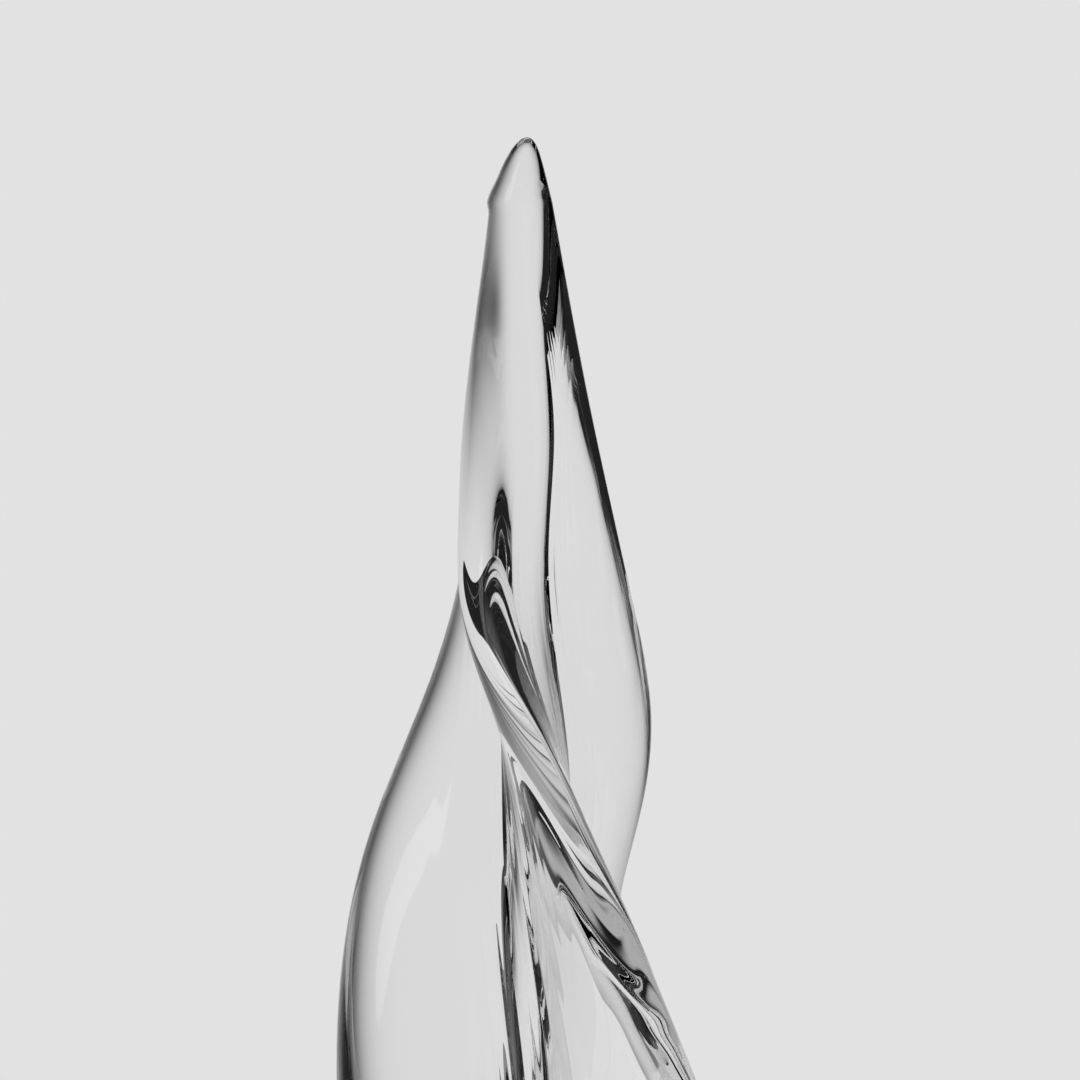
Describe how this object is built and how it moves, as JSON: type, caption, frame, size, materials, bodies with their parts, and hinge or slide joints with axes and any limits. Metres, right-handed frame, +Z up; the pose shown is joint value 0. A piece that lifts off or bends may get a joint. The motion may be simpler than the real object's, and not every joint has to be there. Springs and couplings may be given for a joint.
{
  "type": "glass christmas tree sculpture",
  "caption": "Free-standing ornament of solid clear glass: lobes twisted round a core rise from a ground foot and draw in to a rounded tip with a small sheared lip.",
  "frame": {"origin": "middle of the core's ground foot, where the twist axis meets the table", "axes": "+Z up along the twist axis to the tip, -Y the side seen in the picture, +X to the right of it"},
  "size_m": [0.1026, 0.0956, 0.3],
  "materials": {
    "clear_glass": "fire-polished clear solid glass with a ground flat foot"
  },
  "bodies": {
    "root": {"core": "clear_glass", "right_lobe": "clear_glass", "left_lobe": "clear_glass", "front_lobe": "clear_glass", "tip_cap": "clear_glass"}
  },
  "joints": []
}
